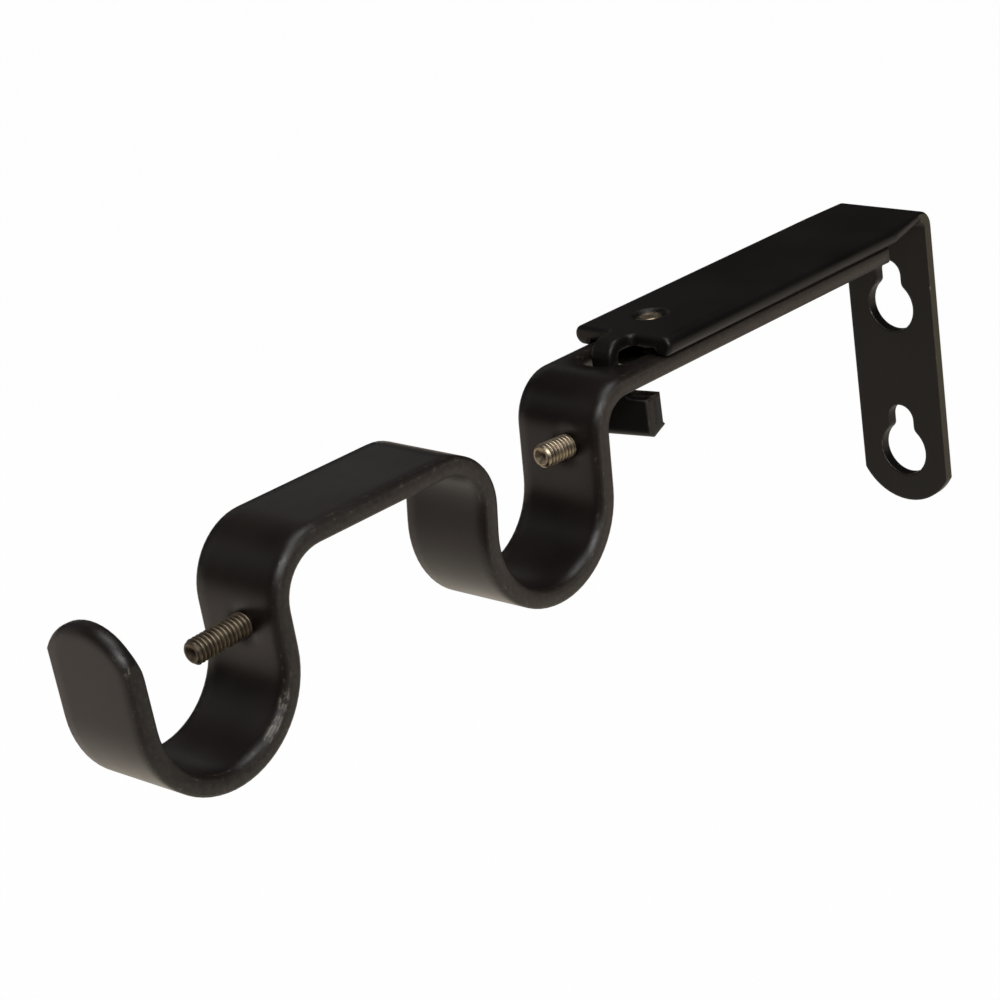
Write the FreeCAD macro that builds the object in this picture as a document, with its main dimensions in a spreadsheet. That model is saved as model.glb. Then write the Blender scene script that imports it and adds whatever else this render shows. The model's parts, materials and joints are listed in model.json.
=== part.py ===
import FreeCAD, Part
import math
import os
import Sketcher
from FreeCAD import Placement, Rotation, Vector

# A double curtain pole bracket. A folded sheet-steel bracket hangs on two wall screws
# by its keyholes. A slotted bar, bent into two open cradles, slides out from under it
# and is held by a clamp screw. A set screw in each cradle presses on its pole.
#
# The frame: X along the wall, +Y into the wall, +Z up. The origin lies on the wall
# face, on the centre line, midway between the heads of the two keyholes.
# All sizes are millimetres and degrees.

SIZES = {
    # The folded bracket
    "SheetThickness": 2.1,
    "EdgeRoll": 0.6,
    "PlateWidth": 18.9,
    "PlateEndRadius": 10.9,
    "PlateBelowKeyhole": 10.3,
    "KeyholePitch": 29.0,
    "KeyholeHead": 10.1,
    "KeyholeNeck": 5.6,
    "KeyholeRise": 6.3,
    "KeyholeFlare": 1.5,
    "TopAboveKeyhole": 19.5,
    "FoldRadius": 3.2,
    "ChannelLength": 77.2,
    "ChannelWidth": 21.3,
    "ChannelShoulder": 1.7,
    "LipDepth": 3.4,
    "LipFoot": 2.7,
    "LipSlope": 0.7,
    "FadeLength": 9.0,
    "FadeDepth": 2.4,
    # The tongue and its twisted, hemmed foot
    "TongueWidth": 4.4,
    "TongueReach": 5.9,
    "TongueFold": 3.2,
    "TongueRoot": 1.4,
    "FootWidth": 16.0,
    "FootHeight": 6.9,
    "FootBelowTop": 9.8,
    "FootTwist": 11.0,
    "FootBend": 1.2,
    "FootSlant": 0.9,
    "FootBurr": 0.6,
    "FootSeam": 0.2,
    "FootNeck": 8.6,
    "FootNeckRise": 2.9,
    # The hook arm, a bent flat bar
    "BarWidth": 18.0,
    "BarThickness": 3.2,
    "BarEdge": 0.5,
    "BarFromWall": 13.0,
    "BendPastTongue": 4.3,
    "SlideBend": 6.7,
    "RearLegLength": 9.6,
    "RearLegLean": 3.5,
    "RearCradleRadius": 14.0,
    "RearRiseLength": 4.8,
    "RearRiseLean": 7.0,
    "RearShoulder": 8.5,
    "BridgeLength": 28.1,
    "FrontShoulder": 9.3,
    "FrontLegLength": 6.0,
    "FrontLegLean": 2.5,
    "FrontCradleRadius": 14.3,
    "EndLength": 16.7,
    "EndLean": 3.5,
    "EndCrown": 5.2,
    "EndRound": 1.2,
    "SlotWidth": 11.0,
    "SlotFrontGap": 2.0,
    "SlotRearBar": 7.0,
    "SlotOffset": -0.6,
    # The set screws of the cradles
    "SetScrewDiameter": 4.17,
    "SetScrewBelowBend": 2.4,
    "SetScrewChamfer": 0.5,
    "SetScrewCup": 2.6,
    "SetScrewCupDepth": 0.8,
    "SetScrewKey": 2.0,
    "SetScrewKeyDepth": 2.4,
    "FrontSetScrewLength": 15.9,
    "FrontSetScrewOut": 10.6,
    "FrontSetScrewSide": 0.7,
    "RearSetScrewLength": 12.7,
    "RearSetScrewOut": 6.4,
    "RearSetScrewSide": 1.9,
    # The clamp screw under the channel, with its washer
    "ClampDiameter": 5.0,
    "ClampBehindFront": 9.4,
    "ClampSide": -1.5,
    "ClampBelowTop": 0.3,
    "ClampChamfer": 0.6,
    "ClampHeadDiameter": 8.2,
    "ClampHeadHeight": 1.7,
    "ClampHeadEdge": 0.5,
    "ClampKey": 3.0,
    "ClampKeyDepth": 1.2,
    "ClampCollar": 8.0,
    "ClampCollarDepth": 0.9,
    "ClampMouth": 0.7,
    "WasherDiameter": 15.0,
    "WasherThickness": 1.2,
    # Clearances
    "ThreadClearance": 0.05,
    "WasherClearance": 0.2,
    "LipClearance": 0.15,
    "SlideClearance": 0.05,
}


# How many times the wall's thickness a cut runs, so that it passes right through
THROUGH = 3
# Two places closer than this are the same place
NEAR = 1e-4
SIN_45 = math.sin(math.radians(45))
# The angle through which the crown of the bar's end is turned
CROWN_SWEEP = 160
# Which steps of the bar's path are the two legs that carry the set screws
REAR_LEG = 2
FRONT_LEG = 8


class Size(float):
    """A number that also carries the sheet formula it came from."""

    def __new__(cls, value, formula):
        size = super().__new__(cls, value)
        size.formula = formula
        return size

    def __add__(self, other):
        return Size(float(self) + float(other), "(%s + %s)" % (self.formula, formula_of(other)))

    def __radd__(self, other):
        return Size(float(other) + float(self), "(%s + %s)" % (formula_of(other), self.formula))

    def __sub__(self, other):
        return Size(float(self) - float(other), "(%s - %s)" % (self.formula, formula_of(other)))

    def __rsub__(self, other):
        return Size(float(other) - float(self), "(%s - %s)" % (formula_of(other), self.formula))

    def __mul__(self, other):
        return Size(float(self) * float(other), "(%s * %s)" % (self.formula, formula_of(other)))

    def __rmul__(self, other):
        return Size(float(other) * float(self), "(%s * %s)" % (formula_of(other), self.formula))

    def __truediv__(self, other):
        return Size(float(self) / float(other), "(%s / %s)" % (self.formula, formula_of(other)))

    def __neg__(self):
        return Size(-float(self), "(0 - %s)" % self.formula)


def formula_of(number):
    """The formula text of a Size, or the plain number."""
    return getattr(number, "formula", repr(float(number)))


def sine(angle):
    return Size(math.sin(math.radians(angle)), "sin(%s)" % formula_of(angle))


def cosine(angle):
    return Size(math.cos(math.radians(angle)), "cos(%s)" % formula_of(angle))


def root(number):
    return Size(math.sqrt(number), "sqrt(%s)" % formula_of(number))


def bind(item, path, size):
    """Tie one property of a document object to the sheet."""
    if hasattr(size, "formula"):
        item.setExpression(path, size.formula)


doc = FreeCAD.newDocument("curtain_pole_bracket")
sheet = doc.addObject("Spreadsheet::Sheet", "sizes")
for row, (word, value) in enumerate(SIZES.items(), start=1):
    sheet.set("A%d" % row, word)
    sheet.set("B%d" % row, str(value))
    sheet.setAlias("B%d" % row, word)
doc.recompute()


def read(word):
    return Size(sheet.get(word), "<<sizes>>." + word)


# Places that several pieces share
sheet_thickness = read("SheetThickness")
top = read("KeyholePitch") / 2 + read("TopAboveKeyhole")
plate_half = read("PlateWidth") / 2
channel_front = -read("ChannelLength")
tongue_face = channel_front - read("TongueReach")
tongue_back = tongue_face + sheet_thickness
foot_top = top - read("FootBelowTop")
bar_width = read("BarWidth")
bar_half = read("BarThickness") / 2
bar_top = top - read("LipDepth") - read("LipClearance")
bar_middle = bar_top - bar_half
bar_bottom = bar_middle - bar_half
bar_rear = -read("BarFromWall")
clamp_y = channel_front + read("ClampBehindFront")
clamp_x = read("ClampSide")
clamp_hole = read("ClampDiameter") / 2 + read("ThreadClearance")
washer_top = bar_bottom - read("SlideClearance")
washer_bottom = washer_top - read("WasherThickness")
set_screw_radius = read("SetScrewDiameter") / 2
set_screw_hole = set_screw_radius + read("ThreadClearance")


# Sketch helpers

def new_body(name):
    body = doc.addObject("PartDesign::Body", name)
    body.Label = name
    return body


def origin_plane(body, role):
    for feature in body.Origin.OriginFeatures:
        if feature.Role == role:
            return feature
    raise ValueError("no plane " + role)


def new_sketch(body, name, role, offset=(0, 0, 0), turn=0):
    """A sketch on one of the body's own planes, moved by offset in the sketch's own
    axes and turned about its upright axis."""
    sketch = body.newObject("Sketcher::SketchObject", name)
    sketch.AttachmentSupport = (origin_plane(body, role), "")
    sketch.MapMode = "FlatFace"
    rotation = Rotation(Vector(0, 1, 0), float(turn))
    sketch.AttachmentOffset = Placement(Vector(*[float(part) for part in offset]), rotation)
    for axis, part in zip("xyz", offset):
        bind(sketch, "AttachmentOffset.Base." + axis, part)
    bind(sketch, "AttachmentOffset.Rotation.Angle", turn)
    return sketch


def place_point(sketch, edge, end, corner):
    """Hold one end of an edge at its two coordinates."""
    for kind, axis, value in (("DistanceX", -2, corner[0]), ("DistanceY", -1, corner[1])):
        if near(value, 0):
            sketch.addConstraint(Sketcher.Constraint("PointOnObject", edge, end, axis))
            continue
        index = sketch.addConstraint(Sketcher.Constraint(kind, -1, 1, edge, end, float(value)))
        bind(sketch, "Constraints[%d]" % index, value)


def arc_between(start, end, radius, turn, large):
    """The arc from start to end that turns left or right about its centre."""
    chord = Vector(end[0] - start[0], end[1] - start[1], 0)
    middle = Vector((start[0] + end[0]) / 2, (start[1] + end[1]) / 2, 0)
    rise = math.sqrt(max(radius ** 2 - (chord.Length / 2) ** 2, 0))
    side = Vector(-chord.y, chord.x, 0).normalize()
    sign = 1 if (turn == "left") != large else -1
    centre = middle + side * rise * sign
    first, last = (start, end) if turn == "left" else (end, start)
    first_angle = math.atan2(first[1] - centre.y, first[0] - centre.x)
    last_angle = math.atan2(last[1] - centre.y, last[0] - centre.x)
    if last_angle <= first_angle:
        last_angle += 2 * math.pi
    circle = Part.Circle(centre, Vector(0, 0, 1), float(radius))
    return Part.ArcOfCircle(circle, first_angle, last_angle)


def draw_outline(sketch, corners):
    """A closed outline. A corner is (x, y), or (x, y, radius, turn) or
    (x, y, radius, turn, "large") where an arc leads from it to the next corner."""
    start_ends = []
    for number, corner in enumerate(corners):
        following = corners[(number + 1) % len(corners)]
        if len(corner) == 2:
            line = Part.LineSegment(Vector(corner[0], corner[1], 0), Vector(following[0], following[1], 0))
            edge = sketch.addGeometry(line)
            start_ends.append((edge, 1, 2))
        else:
            arc = arc_between(corner, following, corner[2], corner[3], len(corner) > 4)
            edge = sketch.addGeometry(arc)
            start_ends.append((edge, 1, 2) if corner[3] == "left" else (edge, 2, 1))
    for number, corner in enumerate(corners):
        edge, start, end = start_ends[number]
        after, after_start, after_end = start_ends[(number + 1) % len(corners)]
        sketch.addConstraint(Sketcher.Constraint("Coincident", edge, end, after, after_start))
        place_point(sketch, edge, start, corner)
        following = corners[(number + 1) % len(corners)]
        if len(corner) > 2 and near(abs(following[0] - corner[0]), 2 * corner[2]):
            # A half round: its centre is level with its ends
            sketch.addConstraint(Sketcher.Constraint("Horizontal", edge, 3, edge, start))
        elif len(corner) > 2:
            index = sketch.addConstraint(Sketcher.Constraint("Radius", edge, float(corner[2])))
            bind(sketch, "Constraints[%d]" % index, corner[2])


def draw_circle(sketch, x, y, radius):
    centre = Vector(x, y, 0)
    edge = sketch.addGeometry(Part.Circle(centre, Vector(0, 0, 1), float(radius)))
    place_point(sketch, edge, 3, (x, y))
    index = sketch.addConstraint(Sketcher.Constraint("Radius", edge, float(radius)))
    bind(sketch, "Constraints[%d]" % index, radius)


def softened_box(half_width, low, high, edge):
    """Corners of a box about the upright axis, each corner worn to two narrow flats."""
    bevel = edge * (1 - SIN_45)
    lower_right = [
        (half_width - edge, low),
        (half_width - bevel, low + bevel),
        (half_width, low + edge),
    ]
    upper_right = [(x, low + high - z) for x, z in reversed(lower_right)]
    right = lower_right + upper_right
    return right + [(-x, z) for x, z in reversed(right)]


def pad(body, name, sketch, length, both_ways=False, backwards=False):
    feature = body.newObject("PartDesign::Pad", name)
    feature.Profile = sketch
    feature.Length = float(length)
    bind(feature, "Length", length)
    feature.SideType = "Symmetric" if both_ways else "One side"
    feature.Reversed = backwards
    return feature


def pocket(body, name, sketch, length, both_ways=False, backwards=False):
    before = solid_volume(body)
    feature = body.newObject("PartDesign::Pocket", name)
    feature.Profile = sketch
    feature.Length = float(length)
    bind(feature, "Length", length)
    feature.SideType = "Symmetric" if both_ways else "One side"
    feature.Reversed = backwards
    if solid_volume(body) >= before:
        raise ValueError(name + " cuts nothing")
    return feature


def groove(body, name, sketch, axis, angle):
    """Turn a sketch about one of its own axes, half the angle each way, and cut it out."""
    before = solid_volume(body)
    feature = body.newObject("PartDesign::Groove", name)
    feature.Profile = sketch
    feature.ReferenceAxis = (sketch, [axis])
    feature.Midplane = True
    feature.Angle = angle
    if solid_volume(body) >= before:
        raise ValueError(name + " cuts nothing")
    return feature


def solid_volume(body):
    doc.recompute()
    return body.Shape.Volume


def edges_where(shape, test):
    """Names of the edges whose two ends and middle all pass the test."""
    names = []
    for number, edge in enumerate(shape.Edges, start=1):
        middle = edge.valueAt((edge.FirstParameter + edge.LastParameter) / 2)
        points = [vertex.Point for vertex in edge.Vertexes] + [middle]
        if all(test(point) for point in points):
            names.append("Edge%d" % number)
    return names


def near(first, second):
    return abs(first - second) < NEAR


def fillet(body, name, test, radius):
    doc.recompute()
    feature = body.newObject("PartDesign::Fillet", name)
    base = body.Tip if body.Tip != feature else feature.BaseFeature
    feature.Base = (base, edges_where(base.Shape, test))
    feature.Radius = float(radius)
    bind(feature, "Radius", radius)
    doc.recompute()
    return feature


# The wall bracket: one piece of folded sheet

def keyhole(head_z):
    """A round head with a narrower neck above it, the neck flaring into the head."""
    head = read("KeyholeHead") / 2
    neck = read("KeyholeNeck") / 2
    flare = read("KeyholeFlare")
    across = neck + flare
    up = root((head + flare) * (head + flare) - across * across)
    touch_x = across * head / (head + flare)
    touch_z = head_z + up * head / (head + flare)
    neck_top = head_z + read("KeyholeRise")
    return [
        (neck, head_z + up),
        (neck, neck_top, neck, "left"),
        (-neck, neck_top),
        (-neck, head_z + up, flare, "right"),
        (-touch_x, touch_z, head, "left", "large"),
        (touch_x, touch_z, flare, "right"),
    ]


def channel_section(half, shoulder, depth):
    """The channel seen from the front: flat top and rolled lips that rest on the bar."""
    foot = read("LipFoot")
    slope = read("LipSlope")
    under = top - sheet_thickness
    low = top - depth
    curl = depth - shoulder
    return [
        (half - shoulder, top),
        (shoulder - half, top, shoulder, "left"),
        (-half, top - shoulder, curl, "left"),
        (curl - half, low),
        (foot - half, low),
        (foot - half + slope, under),
        (half - foot - slope, under),
        (half - foot, low),
        (half - curl, low, curl, "left"),
        (half, top - shoulder, shoulder, "left"),
    ]


def turned_box(centre_y, half_width, half_depth, turn):
    """Corners of a box about (0, centre_y), turned by an angle."""
    corners = []
    for across, deep in ((-1, -1), (1, -1), (1, 1), (-1, 1)):
        wide = half_width * across
        thick = half_depth * deep
        x = wide * cosine(turn) - thick * sine(turn)
        y = centre_y + wide * sine(turn) + thick * cosine(turn)
        corners.append((x, y))
    return corners


def make_wall_bracket():
    body = new_body("wall_bracket")

    # The plate against the wall, with a round lower end under the lower keyhole
    lower_head = -read("KeyholePitch") / 2
    upper_head = read("KeyholePitch") / 2
    end_radius = read("PlateEndRadius")
    end_centre = lower_head - read("PlateBelowKeyhole") + end_radius
    end_corner = end_centre - root(end_radius * end_radius - plate_half * plate_half)
    plate_top = top - read("FoldRadius")
    sketch = new_sketch(body, "plate_outline", "XZ_Plane")
    draw_outline(sketch, [
        (plate_half, end_corner),
        (plate_half, plate_top),
        (-plate_half, plate_top),
        (-plate_half, end_corner, end_radius, "left"),
    ])
    pad(body, "plate", sketch, sheet_thickness)
    sketch = new_sketch(body, "keyhole_outlines", "XZ_Plane")
    draw_outline(sketch, keyhole(lower_head))
    draw_outline(sketch, keyhole(upper_head))
    pocket(body, "keyholes", sketch, sheet_thickness * THROUGH, both_ways=True)

    # The fold at the top of the plate
    fold = read("FoldRadius")
    inner_fold = fold - sheet_thickness
    sketch = new_sketch(body, "fold_profile", "YZ_Plane")
    draw_outline(sketch, [
        (-sheet_thickness, plate_top),
        (Size(0, "0"), plate_top, fold, "left"),
        (-fold, top),
        (-fold, top - sheet_thickness, inner_fold, "right"),
    ])
    pad(body, "fold", sketch, read("PlateWidth"), both_ways=True)

    # Stamping rolls the outline of the outer face over, down the plate and round its end
    def on_rolled_edge(point):
        at_side = near(abs(point.x), plate_half)
        on_back = near(point.y, 0) and point.z < plate_top + NEAR
        on_fold = near(math.hypot(point.y + fold, point.z - plate_top), fold)
        on_end = near(point.y, 0) and near(math.hypot(point.x, point.z - end_centre), end_radius)
        return at_side and (on_back or on_fold) or on_end

    fillet(body, "edge_roll", on_rolled_edge, read("EdgeRoll"))

    # The channel, and the stretch where its lips fade into the fold
    fade_start = fold + read("FadeLength")
    channel_half = read("ChannelWidth") / 2
    sketch = new_sketch(body, "channel_front_section", "XZ_Plane", (0, 0, -channel_front))
    draw_outline(sketch, channel_section(channel_half, read("ChannelShoulder"), read("LipDepth")))
    pad(body, "channel", sketch, -channel_front - fade_start, backwards=True)
    rear = new_sketch(body, "channel_rear_section", "XZ_Plane", (0, 0, fade_start))
    draw_outline(rear, channel_section(channel_half, read("ChannelShoulder"), read("LipDepth")))
    faded = new_sketch(body, "faded_section", "XZ_Plane", (0, 0, fold))
    draw_outline(faded, channel_section(plate_half, read("EdgeRoll"), read("FadeDepth")))
    loft = body.newObject("PartDesign::AdditiveLoft", "lip_fade")
    loft.Profile = rear
    loft.Sections = [faded]
    loft.Ruled = True

    # The tongue: forward from the channel, then down through the bar's slot
    tongue_fold = read("TongueFold")
    inner_tongue = tongue_fold - sheet_thickness
    tongue_half = read("TongueWidth") / 2
    neck_top = foot_top + read("FootNeckRise")
    sketch = new_sketch(body, "tongue_profile", "YZ_Plane")
    draw_outline(sketch, [
        (channel_front + sheet_thickness, top),
        (tongue_face + tongue_fold, top, tongue_fold, "left"),
        (tongue_face, top - tongue_fold),
        (tongue_face, neck_top),
        (tongue_back, neck_top),
        (tongue_back, top - tongue_fold, inner_tongue, "right"),
        (tongue_face + tongue_fold, top - sheet_thickness),
        (channel_front + sheet_thickness, top - sheet_thickness),
    ])
    pad(body, "tongue", sketch, read("TongueWidth"), both_ways=True)

    def at_tongue_root(point):
        return near(point.y, channel_front) and near(abs(point.x), tongue_half)

    fillet(body, "tongue_root", at_tongue_root, read("TongueRoot"))

    # Stamping rolls the channel's front edge too, over the shoulders and beside the tongue
    shoulder = read("ChannelShoulder")

    def on_front_edge(point):
        from_shoulder = math.hypot(abs(point.x) - channel_half + shoulder, point.z - top + shoulder)
        return near(point.y, channel_front) and (near(point.z, top) or near(from_shoulder, shoulder))

    fillet(body, "front_roll", on_front_edge, read("EdgeRoll"))

    # The foot: sheet folded back on itself, twisted so that it stays under the bar
    layer = sheet_thickness / 2
    seam = read("FootSeam")
    bend = read("FootBend")
    burr = read("FootBurr")
    foot_low = foot_top - read("FootHeight")
    back = layer + seam + sheet_thickness
    back_low = foot_low + read("FootSlant")
    seam_low = foot_low + sheet_thickness + seam / 2
    twist_centre = tongue_face + layer
    twist = read("FootTwist")
    sketch = new_sketch(body, "foot_profile", "YZ_Plane", (twist_centre, 0, 0), twist)
    draw_outline(sketch, [
        (-layer, foot_top),
        (-layer, foot_low + bend, bend, "left"),
        (bend - layer, foot_low),
        (back + burr, back_low),
        (back, back_low + burr),
        (back, foot_top),
        (back - sheet_thickness, foot_top),
        (back - sheet_thickness, seam_low, seam / 2, "right"),
        (layer, seam_low),
        (layer, foot_top),
    ])
    pad(body, "foot", sketch, read("FootWidth"), both_ways=True)

    # The neck twists and widens from the tongue into the foot's front layer
    upper = new_sketch(body, "neck_top_outline", "XY_Plane", (0, 0, neck_top))
    draw_outline(upper, turned_box(twist_centre, tongue_half, layer, Size(0, "0")))
    lower = new_sketch(body, "neck_foot_outline", "XY_Plane", (0, 0, foot_top))
    draw_outline(lower, turned_box(twist_centre, read("FootNeck") / 2, layer, twist))
    neck = body.newObject("PartDesign::AdditiveLoft", "foot_neck")
    neck.Profile = upper
    neck.Sections = [lower]
    neck.Ruled = True

    # The threaded collar of the clamp screw, with a chamfered mouth
    collar_low = top - sheet_thickness - read("ClampCollarDepth")
    collar_height = read("ClampCollarDepth") + sheet_thickness / 2
    collar = body.newObject("PartDesign::AdditiveCylinder", "clamp_collar")
    set_round(collar, read("ClampCollar") / 2, collar_height, (clamp_x, clamp_y, collar_low), body)
    hole = body.newObject("PartDesign::SubtractiveCylinder", "clamp_hole")
    set_round(hole, clamp_hole, collar_height * THROUGH, (clamp_x, clamp_y, collar_low), body)
    doc.recompute()

    def at_clamp_mouth(point):
        from_axis = math.hypot(point.x - clamp_x, point.y - clamp_y)
        return near(point.z, top) and near(from_axis, clamp_hole)

    mouth = body.newObject("PartDesign::Chamfer", "clamp_mouth")
    mouth.Base = (hole, edges_where(hole.Shape, at_clamp_mouth))
    mouth.Size = float(read("ClampMouth"))
    bind(mouth, "Size", read("ClampMouth"))
    body.Tip = mouth
    return body


def set_round(feature, radius, height, place, body):
    """Size and place a cylinder that stands along +Z."""
    feature.Radius = float(radius)
    feature.Height = float(height)
    bind(feature, "Radius", radius)
    bind(feature, "Height", height)
    feature.AttachmentSupport = (origin_plane(body, "XY_Plane"), "")
    feature.MapMode = "FlatFace"
    feature.AttachmentOffset = Placement(Vector(*[float(part) for part in place]), Rotation())
    for axis, part in zip("xyz", place):
        bind(feature, "AttachmentOffset.Base." + axis, part)


# The hook arm: the bar's centre line as straights and arcs

class Walk:
    """A path in the YZ plane, followed from the bar's rear end towards the room."""

    def __init__(self, y, z, heading):
        self.y = y
        self.z = z
        self.heading = heading
        self.steps = []

    def straight(self, length):
        start = (self.y, self.z)
        self.y = self.y + length * cosine(self.heading)
        self.z = self.z + length * sine(self.heading)
        self.steps.append(("line", start, (self.y, self.z), length, self.heading))

    def bend(self, radius, new_heading, side):
        """side is +1 for a left turn and -1 for a right turn."""
        start = (self.y, self.z)
        centre_y = self.y - side * radius * sine(self.heading)
        centre_z = self.z + side * radius * cosine(self.heading)
        self.y = centre_y + side * radius * sine(new_heading)
        self.z = centre_z - side * radius * cosine(new_heading)
        self.heading = new_heading
        self.steps.append(("arc", start, (self.y, self.z), radius, (centre_y, centre_z), side))


def arm_path():
    walk = Walk(bar_rear, bar_middle, Size(180, "180"))
    walk.straight(bar_rear - tongue_face + read("BendPastTongue"))
    walk.bend(read("SlideBend"), 270 - read("RearLegLean"), 1)
    walk.straight(read("RearLegLength"))
    walk.bend(read("RearCradleRadius"), 90 - read("RearRiseLean"), -1)
    walk.straight(read("RearRiseLength"))
    walk.bend(read("RearShoulder"), Size(180, "180"), 1)
    walk.straight(read("BridgeLength"))
    walk.bend(read("FrontShoulder"), 270 + read("FrontLegLean"), 1)
    walk.straight(read("FrontLegLength"))
    walk.bend(read("FrontCradleRadius"), 90 + read("EndLean"), -1)
    walk.straight(read("EndLength") + read("BarThickness"))
    return walk.steps


def draw_path(sketch, steps):
    """Draw the path as a tangent chain, held by its lengths, radii and headings."""
    previous = None
    for kind, start, end, size, *rest in steps:
        if kind == "line":
            line = Part.LineSegment(Vector(start[0], start[1], 0), Vector(end[0], end[1], 0))
            edge = sketch.addGeometry(line)
            first, last = 1, 2
        else:
            centre, side = rest
            circle = Part.Circle(Vector(centre[0], centre[1], 0), Vector(0, 0, 1), float(size))
            ends = (start, end) if side > 0 else (end, start)
            angles = [math.atan2(y_z[1] - centre[1], y_z[0] - centre[0]) for y_z in ends]
            if angles[1] <= angles[0]:
                angles[1] += 2 * math.pi
            edge = sketch.addGeometry(Part.ArcOfCircle(circle, angles[0], angles[1]))
            first, last = (1, 2) if side > 0 else (2, 1)
        if previous is None:
            place_point(sketch, edge, first, start)
        else:
            sketch.addConstraint(Sketcher.Constraint("Tangent", previous[0], previous[1], edge, first))
        previous = (edge, last)
        if kind == "line":
            heading = rest[0]
            wrapped = heading if heading <= 180 else heading - 360
            angle = Sketcher.Constraint("Angle", edge, math.radians(wrapped))
            bind(sketch, "Constraints[%d]" % sketch.addConstraint(angle), wrapped)
            length = Sketcher.Constraint("Distance", edge, float(size))
            bind(sketch, "Constraints[%d]" % sketch.addConstraint(length), size)
        else:
            radius = Sketcher.Constraint("Radius", edge, float(size))
            bind(sketch, "Constraints[%d]" % sketch.addConstraint(radius), size)


def screw_seat(leg, out):
    """Where a cradle's set screw crosses its leg: the point on the leg's room face that
    lies out along the screw, and the angle at which the screw points below level."""
    _, start, _, _, heading = leg
    down = read("SetScrewBelowBend")
    reach = bar_half + out
    y = start[0] + down * cosine(heading) + reach * sine(heading)
    z = start[1] + down * sine(heading) - reach * cosine(heading)
    return y, z, heading - 270


def make_hook_arm(steps):
    body = new_body("hook_arm")
    spine = new_sketch(body, "bar_path", "YZ_Plane")
    draw_path(spine, steps)
    section = new_sketch(body, "bar_section", "XZ_Plane", (0, 0, -bar_rear))
    draw_outline(section, softened_box(bar_width / 2, bar_bottom, bar_top, read("BarEdge")))
    doc.recompute()
    bar = body.newObject("PartDesign::AdditivePipe", "bar")
    bar.Profile = section
    bar.Spine = (spine, ["Edge%d" % number for number in range(1, len(steps) + 1)])
    doc.recompute()

    # The bar's end is crowned: all outside an arc is cut away, with both its edges round
    _, start, _, _, heading = steps[-1]
    crest_y = start[0] + read("EndLength") * cosine(heading)
    crest_z = start[1] + read("EndLength") * sine(heading)
    crown = read("EndCrown")
    half = bar_width / 2
    crown_radius = (half * half + crown * crown) / (2 * crown)
    worn = read("EndRound")
    outer = crest_y - bar_half
    inner = crest_y + bar_half
    beyond = read("BarThickness") * THROUGH
    sketch = new_sketch(body, "crown_outline", "YZ_Plane", (0, crest_z - crown_radius, 0))
    draw_outline(sketch, [
        (outer - beyond, crown_radius - worn),
        (outer, crown_radius - worn, worn, "right"),
        (outer + worn, crown_radius),
        (inner - worn, crown_radius, worn, "right"),
        (inner, crown_radius - worn),
        (inner + beyond, crown_radius - worn),
        (inner + beyond, crown_radius + beyond),
        (outer - beyond, crown_radius + beyond),
    ])
    groove(body, "crown", sketch, "H_Axis", CROWN_SWEEP)

    # The slot, from just past the tongue to a short stretch of whole bar at the rear
    slot_half = read("SlotWidth") / 2
    slot_x = read("SlotOffset")
    front = tongue_face - read("SlotFrontGap") + slot_half
    back = bar_rear - read("SlotRearBar") - slot_half
    sketch = new_sketch(body, "slot_outline", "XY_Plane", (0, 0, bar_top))
    draw_outline(sketch, [
        (slot_x + slot_half, front),
        (slot_x + slot_half, back, slot_half, "left"),
        (slot_x - slot_half, back),
        (slot_x - slot_half, front, slot_half, "left"),
    ])
    pocket(body, "slot", sketch, read("BarThickness") * THROUGH, both_ways=True)

    # A threaded hole for the set screw in each leg
    holes = (
        ("rear", steps[REAR_LEG], read("RearSetScrewSide")),
        ("front", steps[FRONT_LEG], read("FrontSetScrewSide")),
    )
    for word, leg, side in holes:
        y, z, tilt = screw_seat(leg, read("BarThickness"))
        hole = body.newObject("PartDesign::SubtractiveCylinder", word + "_screw_hole")
        hole.Radius = float(set_screw_hole)
        hole.Height = float(read("BarThickness") * THROUGH)
        bind(hole, "Radius", set_screw_hole)
        bind(hole, "Height", read("BarThickness") * THROUGH)
        place_screw(hole, "AttachmentOffset", side, y, z, tilt)
        hole.AttachmentSupport = (origin_plane(body, "XY_Plane"), "")
        hole.MapMode = "FlatFace"
        doc.recompute()
    return body


def place_screw(item, path, x, y, z, tilt):
    """Put a screw, or its hole, with its tip at the point and its length into +Y,
    rising to the back by the tilt."""
    rotation = Rotation(Vector(-1, 0, 0), 90 - float(tilt))
    setattr(item, path, Placement(Vector(float(x), float(y), float(z)), rotation))
    bind(item, path + ".Base.x", x)
    bind(item, path + ".Base.y", y)
    bind(item, path + ".Base.z", z)
    bind(item, path + ".Rotation.Angle", 90 - tilt)


def revolve(body, name, sketch):
    feature = body.newObject("PartDesign::Revolution", name)
    feature.Profile = sketch
    feature.ReferenceAxis = (sketch, ["V_Axis"])
    feature.Angle = 360
    doc.recompute()
    return feature


def hex_socket(body, across_flats, depth):
    """A hexagonal key socket sunk into the end at z = 0."""
    socket = body.newObject("PartDesign::SubtractivePrism", "key_socket")
    circumradius = across_flats / math.sqrt(3)
    socket.Polygon = 6
    socket.Circumradius = float(circumradius)
    socket.Height = float(depth)
    bind(socket, "Circumradius", circumradius)
    bind(socket, "Height", depth)
    socket.AttachmentSupport = (origin_plane(body, "XY_Plane"), "")
    socket.MapMode = "FlatFace"
    doc.recompute()
    return socket


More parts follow.
